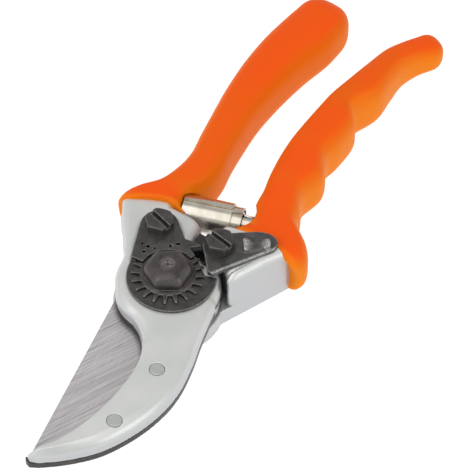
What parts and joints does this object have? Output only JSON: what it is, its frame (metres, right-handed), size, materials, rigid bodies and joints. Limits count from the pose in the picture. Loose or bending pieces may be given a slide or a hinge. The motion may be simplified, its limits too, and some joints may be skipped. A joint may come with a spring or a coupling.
{
  "type": "bypass pruning shears",
  "caption": "Bypass pruning shears with forged aluminium handles, soft grips, a riveted counter-blade, toothed pivot nut, thumb catch and a volute spring between the handles",
  "frame": {"origin": "on the pivot axis, at the flat back of the pivot bolt's head, which the shears rest on when they lie on their back", "axes": "+Y from the pivot towards the handles' ends, the jaws along -Y, +Z out of the nut side, +X towards the handle that carries the cutting blade"},
  "size_m": [0.0667, 0.2198, 0.0258],
  "materials": {
    "forged_aluminium": "satin, lightly blasted forging",
    "orange_grip": "soft dipped coating with a low sheen",
    "dark_steel": "dark phosphated",
    "rivet_metal": "ground flush",
    "blade_steel": "diagonally brushed",
    "bright_steel": "turned",
    "nickel_spring": "nickel plated",
    "black_rubber": "moulded"
  },
  "bodies": {
    "hook_side": {"hook_handle": "forged_aluminium", "hook_grip": "orange_grip", "counter_blade": "dark_steel", "counter_blade_rivets": "rivet_metal", "pivot_bolt": "dark_steel", "pivot_nut": "dark_steel", "pivot_washer": "bright_steel", "lock_plate": "dark_steel", "lock_plate_screw": "dark_steel", "rubber_bumper": "black_rubber", "main_spring": "nickel_spring", "hook_spring_peg": "bright_steel"},
    "blade_side": {"blade_handle": "forged_aluminium", "blade_grip": "orange_grip", "cutting_blade": "blade_steel", "pivot_bush": "bright_steel", "blade_screw": "dark_steel", "catch_screw": "dark_steel", "catch_washer": "dark_steel", "blade_spring_peg": "bright_steel"},
    "catch": {"thumb_catch": "dark_steel"}
  },
  "joints": [
    {"name": "handles_open", "type": "hinge", "parent": "hook_side", "child": "blade_side", "pos_m": [0, 0, 0.0088], "axis": [0, 0, -1], "range_deg": [0, 28], "deforming": ["main_spring"]},
    {"name": "thumb_catch", "type": "hinge", "parent": "blade_side", "child": "catch", "pos_m": [0.0078, 0.0175, 0.0212], "axis": [0, 0, 1], "range_deg": [0, 25]}
  ]
}
